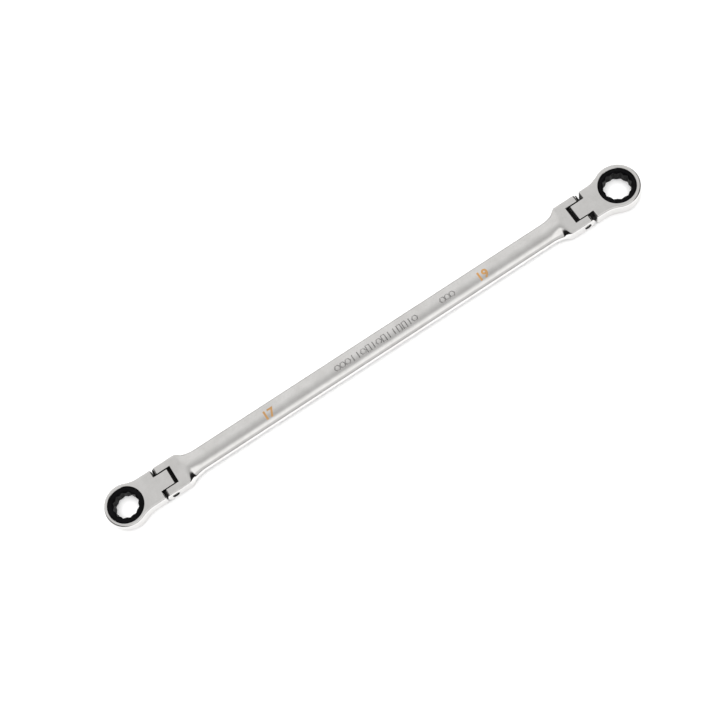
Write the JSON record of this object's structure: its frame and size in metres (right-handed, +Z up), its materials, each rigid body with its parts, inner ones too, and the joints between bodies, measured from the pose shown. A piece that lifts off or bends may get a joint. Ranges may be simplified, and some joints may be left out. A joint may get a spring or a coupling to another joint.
{
  "type": "double flex-head ratcheting box wrench",
  "caption": "Long double-ended box wrench with a flexing 12-point ratchet head at each end, 17 mm and 19 mm, on a slim satin chrome handle.",
  "frame": {"origin": "centre of the footprint, on the surface the wrench lies on", "axes": "+X along the handle towards the 19 mm head, +Y across it, +Z up along the axis of both nut openings"},
  "size_m": [0.4532, 0.0344, 0.0118],
  "materials": {
    "satin_chrome": "satin chrome plate over fine grinding grain",
    "black_oxide": "black oxide, satin, slightly oily",
    "ground_steel": "ground steel",
    "spring_steel": "tempered spring steel, oiled",
    "hardened_steel": "hardened steel, dark grey",
    "size_mark": "orange enamel filled into the engraved size",
    "engraving": "shallow etched pattern, darker than the plate"
  },
  "bodies": {
    "handle": {"handle_bar": "satin_chrome", "small_flex_pin": "ground_steel", "small_washer_left": "spring_steel", "small_washer_right": "spring_steel", "large_flex_pin": "ground_steel", "large_washer_left": "spring_steel", "large_washer_right": "spring_steel"},
    "small_head": {"small_ratchet_head": "satin_chrome", "small_snap_ring": "spring_steel", "small_spring_upper": "spring_steel", "small_spring_lower": "spring_steel"},
    "small_gear": {"small_drive_gear": "black_oxide"},
    "small_upper_pawl": {"small_pawl_upper": "hardened_steel"},
    "small_lower_pawl": {"small_pawl_lower": "hardened_steel"},
    "large_head": {"large_ratchet_head": "satin_chrome", "large_snap_ring": "spring_steel", "large_spring_upper": "spring_steel", "large_spring_lower": "spring_steel"},
    "large_gear": {"large_drive_gear": "black_oxide"},
    "large_upper_pawl": {"large_pawl_upper": "hardened_steel"},
    "large_lower_pawl": {"large_pawl_lower": "hardened_steel"}
  },
  "joints": [
    {"name": "small_flex", "type": "hinge", "parent": "handle", "child": "small_head", "pos_m": [-0.17675, 0, 0.0059], "axis": [0, 1, 0], "range_deg": [-90, 90]},
    {"name": "small_gear_spin", "type": "hinge", "parent": "small_head", "child": "small_gear", "pos_m": [-0.21055, 0, 0.0059], "axis": [0, 0, 1], "continuous": true},
    {"name": "small_pawl_upper_slide", "type": "slide", "parent": "small_head", "child": "small_upper_pawl", "axis": [1, 0, 0], "range_m": [0, 0.0009], "stiffness_N_per_m": 300, "springref_m": -0.001, "deforming": ["small_spring_upper"]},
    {"name": "small_pawl_lower_slide", "type": "slide", "parent": "small_head", "child": "small_lower_pawl", "axis": [1, 0, 0], "range_m": [0, 0.0005], "stiffness_N_per_m": 300, "springref_m": -0.001, "deforming": ["small_spring_lower"]},
    {"name": "large_flex", "type": "hinge", "parent": "handle", "child": "large_head", "pos_m": [0.17565, 0, 0.0059], "axis": [0, -1, 0], "range_deg": [-90, 90]},
    {"name": "large_gear_spin", "type": "hinge", "parent": "large_head", "child": "large_gear", "pos_m": [0.20945, 0, 0.0059], "axis": [0, 0, 1], "continuous": true},
    {"name": "large_pawl_upper_slide", "type": "slide", "parent": "large_head", "child": "large_upper_pawl", "axis": [-1, 0, 0], "range_m": [0, 0.0009], "stiffness_N_per_m": 300, "springref_m": -0.001, "deforming": ["large_spring_upper"]},
    {"name": "large_pawl_lower_slide", "type": "slide", "parent": "large_head", "child": "large_lower_pawl", "axis": [-1, 0, 0], "range_m": [0, 0.0005], "stiffness_N_per_m": 300, "springref_m": -0.001, "deforming": ["large_spring_lower"]}
  ]
}
